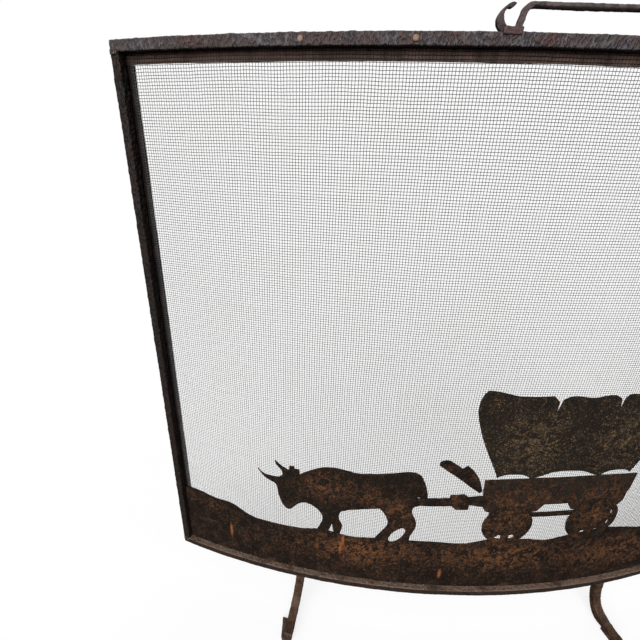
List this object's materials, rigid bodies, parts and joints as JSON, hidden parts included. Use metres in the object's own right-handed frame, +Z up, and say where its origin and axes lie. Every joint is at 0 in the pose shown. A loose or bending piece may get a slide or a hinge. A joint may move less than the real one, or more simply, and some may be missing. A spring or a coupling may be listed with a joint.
{
  "type": "fireplace screen",
  "caption": "bow-front fireplace screen: hammered iron frame, woven wire mesh, cut sheet-iron ox and covered wagon, scroll-ended handle on top and forged feet",
  "frame": {"origin": "centre of the bounding box in plan, on the floor under the feet", "axes": "+X to the right as seen from the front, +Y from the convex front towards the fire, +Z up; the convex front faces -Y"},
  "size_m": [0.9102, 0.1487, 0.8402],
  "materials": {
    "hammered_bar": "hand-hammered iron, worn grey-brown patina",
    "flat_strip": "flat iron strip, dull brown oxide",
    "wire_cloth": "plain woven wire, dulled dark grey",
    "sheet_iron": "thin cut sheet iron, blackened with speckled orange rust",
    "forged_handle": "forged bar, grey-brown",
    "forged_leg": "forged bar, brown rust bloom"
  },
  "bodies": {
    "root": {"top_rail": "hammered_bar", "bottom_rail": "hammered_bar", "left_stile": "hammered_bar", "right_stile": "hammered_bar", "corner_welds": "hammered_bar", "frame_rivets": "hammered_bar", "top_strip": "flat_strip", "bottom_strip": "flat_strip", "left_strip": "flat_strip", "right_strip": "flat_strip", "mesh_panel": "wire_cloth", "ground_plate": "sheet_iron", "ox": "sheet_iron", "draft_pole": "sheet_iron", "hitch_plate": "sheet_iron", "dash_board": "sheet_iron", "wagon_bed": "sheet_iron", "canopy": "sheet_iron", "reach_pole": "sheet_iron", "front_wheel": "sheet_iron", "rear_wheel": "sheet_iron", "figure_rivets": "sheet_iron", "handle": "forged_handle", "handle_welds": "forged_handle", "left_front_leg": "forged_leg", "left_foot_pad": "forged_leg", "left_rear_leg": "forged_leg", "right_front_leg": "forged_leg", "right_foot_pad": "forged_leg", "right_rear_leg": "forged_leg"}
  },
  "joints": []
}
